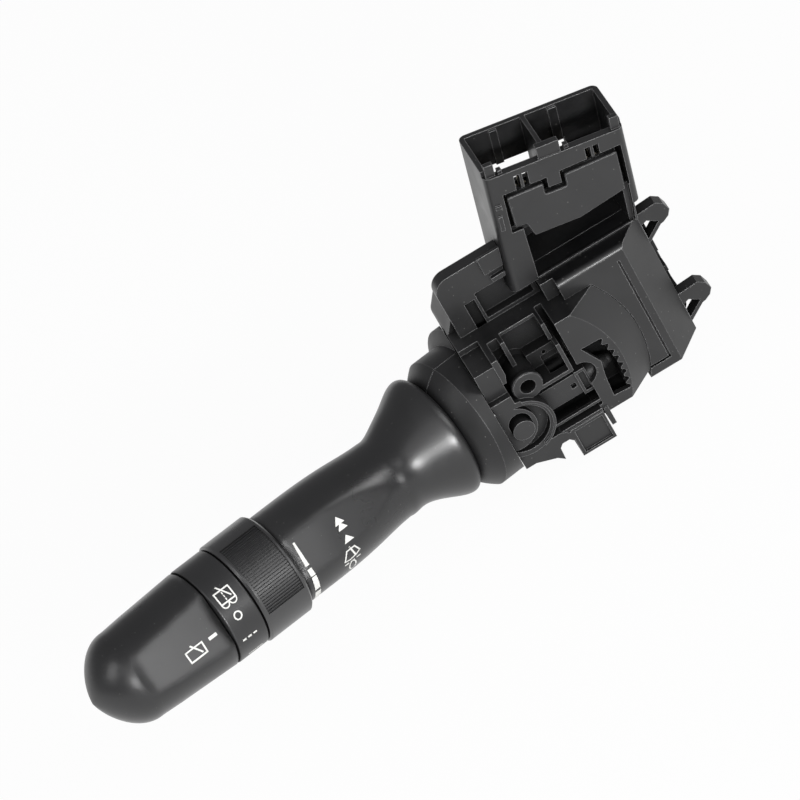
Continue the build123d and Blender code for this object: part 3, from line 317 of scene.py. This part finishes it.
def onSurface(tree, along, angle):
    # point just above the surface, at a distance along the lever and an angle up from the near side
    side = nearSide * math.cos(angle) + upSide * math.sin(angle)
    start = hub + outward * along
    hit = tree.ray_cast(start + side * inkLook["castFromMm"] * mm, -side)[0]
    return hit + side * inkLook["liftMm"] * mm


def bands(points, width, squareEnds):
    # quads of the given width along straight runs, in the mark's own plane
    quads = []
    for (x0, y0), (x1, y1) in zip(points, points[1:]):
        length = math.hypot(x1 - x0, y1 - y0)
        nx, ny = -(y1 - y0) / length * width / 2, (x1 - x0) / length * width / 2
        ex, ey = (ny, -nx) if squareEnds else (0, 0)          # square ends close the corners
        quads.append([(x0 - ex + nx, y0 - ey + ny), (x0 - ex - nx, y0 - ey - ny),
                      (x1 + ex - nx, y1 + ey - ny), (x1 + ex + nx, y1 + ey + ny)])
    return quads


def stroke(points, width):
    return bands(points, width, True)


def dash(left, right, width, y=0):
    return stroke([(left, y), (right, y)], width)


def ringOf(cx, cy, rx, ry, width, start=0.0, end=360.0, steps=28):
    points = []
    for step in range(steps + 1):
        angle = math.radians(start + (end - start) * step / steps)
        points.append((cx + rx * math.cos(angle), cy + ry * math.sin(angle)))
    return bands(points, width, False)


def triangle(base, half, height):
    tip = 0.01                                                # as good as a point
    return [[(-half, base), (half, base), (tip, base + height), (-tip, base + height)]]


def printMark(name, carrier, quads):
    # lays the quads, in millimetres with x towards the body and y up, on the carrier's surface
    vertices, faces = [], []
    alongMm, angleDeg = carrier["places"][name]
    for quad in quads:
        a, b, c, d = [Vector((x, y)) for x, y in quad]
        across = max(1, math.ceil(max((b - a).length, (c - d).length) / inkLook["stepMm"]))
        down = max(1, math.ceil(max((d - a).length, (c - b).length) / inkLook["stepMm"]))
        base = len(vertices)
        for row in range(down + 1):
            for column in range(across + 1):
                left = a.lerp(d, row / down)
                right = b.lerp(c, row / down)
                spot = left.lerp(right, column / across)
                angle = math.radians(angleDeg) + spot.y / carrier["radiusMm"]
                vertices.append(onSurface(carrier["surface"], (alongMm - spot.x) * mm, angle))
        for row in range(down):
            for column in range(across):
                corner = base + row * (across + 1) + column
                faces.append((corner, corner + 1, corner + across + 2, corner + across + 1))
    mesh = bpy.data.meshes.new(name)
    mesh.from_pydata(vertices, [], faces)
    mesh.materials.append(ink)
    piece = bpy.data.objects.new(name, mesh)
    bpy.context.scene.collection.objects.link(piece)
    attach(piece, carrier["body"])


print("printed marks")
# places of the marks: millimetres from the swing pivot, degrees up from the near side
gripMarks = {
    "body": "lever", "surface": surfaceOf("grip"), "radiusMm": 13.4, "lineMm": 0.42, "wiperLineMm": 0.52,
    "places": {
        "mark_double_triangle": (61.0, -9.0), "mark_triangle": (61.4, -28.5),
        "mark_front_screen": (62.6, -46.5), "mark_off": (63.0, -68.0),
        "mark_interval_1": (74.1, 0), "mark_interval_2": (74.1, 0), "mark_interval_3": (74.1, 0),
    },
    "screen": [(-2.6, -1.5), (-1.1, 1.4), (1.6, 1.4), (2.7, -0.9), (1.2, -1.6), (-1.0, -1.9), (-2.6, -1.5)],
    "wiper": [(0.2, 1.9), (1.0, -1.4)],
    "spray": ((-2.7, -1.7, -2.8), (-0.7, 0.3, -2.9), (1.3, 2.3, -2.9)),
    # top and bottom in degrees, width there in millimetres
    "wedges": ((7, -26, 0.6, 1.2), (-30, -61, 1.35, 1.75), (-65.5, -100, 1.8, 2.1)),
}
line = gripMarks["lineMm"]
printMark("mark_double_triangle", gripMarks, triangle(0, 1.5, 2.4) + triangle(-1.8, 1.5, 2.3))
printMark("mark_triangle", gripMarks, triangle(-1.0, 1.55, 2.0))
frontScreen = stroke(gripMarks["screen"], line) + stroke(gripMarks["wiper"], gripMarks["wiperLineMm"])
for left, right, height in gripMarks["spray"]:
    frontScreen += dash(left, right, line, height)
printMark("mark_front_screen", gripMarks, frontScreen)
printMark("mark_off", gripMarks, ringOf(0, 0, 1.1, 2.0, line))
degreeMm = gripMarks["radiusMm"] * math.radians(1)
for number, (top, bottom, wide, wider) in enumerate(gripMarks["wedges"]):
    high, low = top * degreeMm, bottom * degreeMm
    printMark(f"mark_interval_{number + 1}", gripMarks, [[(-wide, high), (0, high), (0, low), (-wider, low)]])

collarMarks = {
    "body": "lever", "surface": surfaceOf("marking_collar"), "radiusMm": 14.5, "lineMm": 0.42,
    "places": {
        "mark_rear_washer": (98.2, 6.5), "mark_rear_off": (98.4, -18.0),
        "mark_rear_interval": (98.2, -46.5), "mark_rear_on": (97.4, -77.0),
    },
    "frame": [(-2.3, -1.7), (2.3, -1.7), (2.3, 1.7), (-2.3, 1.7), (-2.3, -1.7)],
    "wiper": [(-0.6, 2.9), (1.5, -0.7)],
    "dropX": -0.2, "drops": ((1.0, 0.7), (0.1, -0.2), (-0.8, -1.1)), "dropMm": 0.34,
    "sprays": (-1.2, 1.2), "sprayMm": 0.36,
    "dashes": ((-2.0, -1.5), (-0.25, 0.25), (1.5, 2.0)), "dashMm": 0.6,
    "bar": (-2.1, 2.1), "barMm": 0.62,
}
line = collarMarks["lineMm"]
rearWasher = stroke(collarMarks["frame"], line) + stroke(collarMarks["wiper"], line)
for top, bottom in collarMarks["drops"]:
    rearWasher += stroke([(collarMarks["dropX"], top), (collarMarks["dropX"], bottom)], collarMarks["dropMm"])
for middle in collarMarks["sprays"]:
    rearWasher += ringOf(middle, -1.8, 1.1, 1.2, collarMarks["sprayMm"], 180, 360, 10)
printMark("mark_rear_washer", collarMarks, rearWasher)
printMark("mark_rear_off", collarMarks, ringOf(0, 0, 1.05, 1.1, line))
threeDashes = []
for left, right in collarMarks["dashes"]:
    threeDashes += dash(left, right, collarMarks["dashMm"])
printMark("mark_rear_interval", collarMarks, threeDashes)
printMark("mark_rear_on", collarMarks, dash(*collarMarks["bar"], collarMarks["barMm"]))

knobMarks = {
    "body": "knob", "surface": surfaceOf("end_knob"), "radiusMm": 13.9, "lineMm": 0.46,
    "places": {"mark_knob_index": (106.5, -23.5), "mark_rear_screen": (112.5, -27.0)},
    "index": (-0.8, 0.8), "indexMm": 1.0,
    "screen": [(-2.6, -1.6), (2.6, -1.6), (2.7, 1.6), (-2.7, 1.6), (-2.6, -1.6)],
    "wiper": [(-0.5, 2.5), (1.5, -0.8)],
}
printMark("mark_knob_index", knobMarks, dash(*knobMarks["index"], knobMarks["indexMm"]))
line = knobMarks["lineMm"]
printMark("mark_rear_screen", knobMarks, stroke(knobMarks["screen"], line) + stroke(knobMarks["wiper"], line))

print("detent spring")
# Wound wire spring behind the plunger: the real one closes up as the plunger goes in, and this coil is drawn at
# one length
springPlan = {"wireMm": 0.5, "turns": 4, "stepsPerTurn": 28, "wireSides": 10, "travelMm": 1.0}
lowCorner, highCorner = [Vector(corner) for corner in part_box("detent_spring")]
wireRadius = springPlan["wireMm"] * mm / 2
coilRadius = (highCorner.z - lowCorner.z) / 2 - wireRadius
coilLength = highCorner.x - lowCorner.x - 2 * wireRadius
coilMiddle = (lowCorner + highCorner) / 2
alongSpring = Vector((1, 0, 0))
springVertices, springFaces = [], []
springSteps = springPlan["turns"] * springPlan["stepsPerTurn"]
for step in range(springSteps + 1):
    turn = 2 * math.pi * step / springPlan["stepsPerTurn"]
    outwards = Vector((0, math.cos(turn), math.sin(turn)))
    reached = lowCorner.x + wireRadius + coilLength * step / springSteps
    centre = Vector((reached, coilMiddle.y, coilMiddle.z)) + outwards * coilRadius
    for side in range(springPlan["wireSides"]):
        around = 2 * math.pi * side / springPlan["wireSides"]
        rim = outwards * math.cos(around) + alongSpring * math.sin(around)
        springVertices.append(centre + rim * wireRadius)
        if step:
            now, before = step * springPlan["wireSides"], (step - 1) * springPlan["wireSides"]
            following = (side + 1) % springPlan["wireSides"]
            springFaces.append((before + side, before + following, now + following, now + side))
lastVertex = len(springVertices) - 1
springFaces.append(tuple(range(springPlan["wireSides"])))
springFaces.append(tuple(range(lastVertex, lastVertex - springPlan["wireSides"], -1)))
springMesh = bpy.data.meshes.new("detent_spring_coils")
springMesh.from_pydata(springVertices, [], springFaces)
springMesh.materials.append(finishes["spring_steel"])
spring = bpy.data.objects.new("detent_spring_coils", springMesh)
bpy.context.scene.collection.objects.link(spring)
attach(spring, "bracket")
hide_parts("detent_spring")
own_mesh(spring)

print("floor, light and camera")
floorPlan = {"paint": "#d8d8d8", "whiteShare": 0.96, "reachM": 6.0, "dropMm": 1.0}
floorZ = cadBox[0][2] - floorPlan["dropMm"] * mm


def paleFloor():
    # painted board: shows white to the camera and in reflections, and keeps the contact shadow
    material, tree = newMaterial("boardPaintedWhite")
    path = addNode(tree, "ShaderNodeLightPath")
    seen = addNode(tree, "ShaderNodeMath", {"operation": "MAXIMUM"}, {
        0: path.outputs["Is Camera Ray"], 1: path.outputs["Is Glossy Ray"],
    }).outputs[0]
    paint = addNode(tree, "ShaderNodeBsdfDiffuse", None, {"Color": toLinear(floorPlan["paint"])}).outputs[0]
    glow = addNode(tree, "ShaderNodeEmission", None, {"Color": (1, 1, 1, 1), "Strength": 1.0}).outputs[0]
    share = addNode(tree, "ShaderNodeMath", {"operation": "MULTIPLY"}, {
        0: seen, 1: floorPlan["whiteShare"],
    }).outputs[0]
    mix = addNode(tree, "ShaderNodeMixShader", None, {0: share, 1: paint, 2: glow}).outputs[0]
    addNode(tree, "ShaderNodeOutputMaterial", None, {"Surface": mix})
    return material


floorMesh = bpy.data.meshes.new("floor")
reach = floorPlan["reachM"]
floorCorners = [(-reach, -reach), (reach, -reach), (reach, reach), (-reach, reach)]
floorMesh.from_pydata([(x, y, floorZ) for x, y in floorCorners], [], [(0, 1, 2, 3)])
floorMesh.materials.append(paleFloor())
floor = bpy.data.objects.new("floor", floorMesh)
bpy.context.scene.collection.objects.link(floor)

world = bpy.data.worlds.new("studio")
world.use_nodes = True
worldTree = world.node_tree
worldTree.nodes.clear()
worldPath = addNode(worldTree, "ShaderNodeLightPath").outputs["Is Camera Ray"]
ambient = {"grey": (0.28, 0.28, 0.285, 1), "white": (1, 1, 1, 1)}    # linear: what lights, what shows
shown = addNode(worldTree, "ShaderNodeMix", {"data_type": "RGBA"}, {
    0: worldPath, 6: ambient["grey"], 7: ambient["white"],
}).outputs[2]
sky = addNode(worldTree, "ShaderNodeBackground", None, {"Color": shown, "Strength": 1.0}).outputs[0]
addNode(worldTree, "ShaderNodeOutputWorld", None, {"Surface": sky})
bpy.context.scene.world = world

lamps = {
    # name: place in metres, width, height, watts
    "frontSoftbox": ((0.12, -0.93, 0.30), 0.13, 0.12, 3.6),
    "stripSoftbox": ((-0.04, -0.93, 0.325), 0.85, 0.08, 5.5),
    "broadSoftbox": ((-0.25, -1.15, 1.15), 1.3, 1.1, 3.4),
    "sideSoftbox": ((0.60, -0.30, 0.45), 0.25, 0.5, 2.0),
    "leftSoftbox": ((-0.7, -0.2, 0.55), 0.15, 0.5, 1.2),
}
for lampName, (place, width, height, watts) in lamps.items():
    light = bpy.data.lights.new(lampName, "AREA")
    light.shape = "RECTANGLE"
    light.size = width
    light.size_y = height
    light.energy = watts
    lamp = bpy.data.objects.new(lampName, light)
    lamp.location = place
    lamp.rotation_euler = (-Vector(place)).to_track_quat("-Z", "Y").to_euler()
    bpy.context.scene.collection.objects.link(lamp)

cameraPlan = {"riseDeg": 40.0, "rollDeg": 31.0, "distance": 1.4, "pixelsPerMm": 3.79,
              "originPixel": (528.0, 386.6), "frame": 800, "sensorMm": 36.0, "clipEndM": 30}
rise = math.radians(cameraPlan["riseDeg"])
roll = math.radians(cameraPlan["rollDeg"])
forward = Vector((0, math.cos(rise), -math.sin(rise)))
level = Vector((1, 0, 0))
upright = Vector((0, math.sin(rise), math.cos(rise)))
cameraRight = level * math.cos(roll) - upright * math.sin(roll)
cameraUp = level * math.sin(roll) + upright * math.cos(roll)
half = cameraPlan["frame"] / 2
shiftRight = (cameraPlan["originPixel"][0] - half) / cameraPlan["pixelsPerMm"] * mm
shiftUp = (half - cameraPlan["originPixel"][1]) / cameraPlan["pixelsPerMm"] * mm
target = -cameraRight * shiftRight - cameraUp * shiftUp
station = target - forward * cameraPlan["distance"]
lens = bpy.data.cameras.new("camera")
lens.sensor_width = cameraPlan["sensorMm"]
frameWidth = cameraPlan["frame"] / cameraPlan["pixelsPerMm"] * mm
lens.lens = cameraPlan["sensorMm"] * cameraPlan["distance"] / frameWidth
lens.clip_end = cameraPlan["clipEndM"]
camera = bpy.data.objects.new("camera", lens)
camera.matrix_world = Matrix((
    (cameraRight.x, cameraUp.x, -forward.x, station.x),
    (cameraRight.y, cameraUp.y, -forward.y, station.y),
    (cameraRight.z, cameraUp.z, -forward.z, station.z),
    (0, 0, 0, 1),
))
bpy.context.scene.collection.objects.link(camera)
bpy.context.scene.camera = camera
bpy.context.scene.view_settings.view_transform = "Standard"
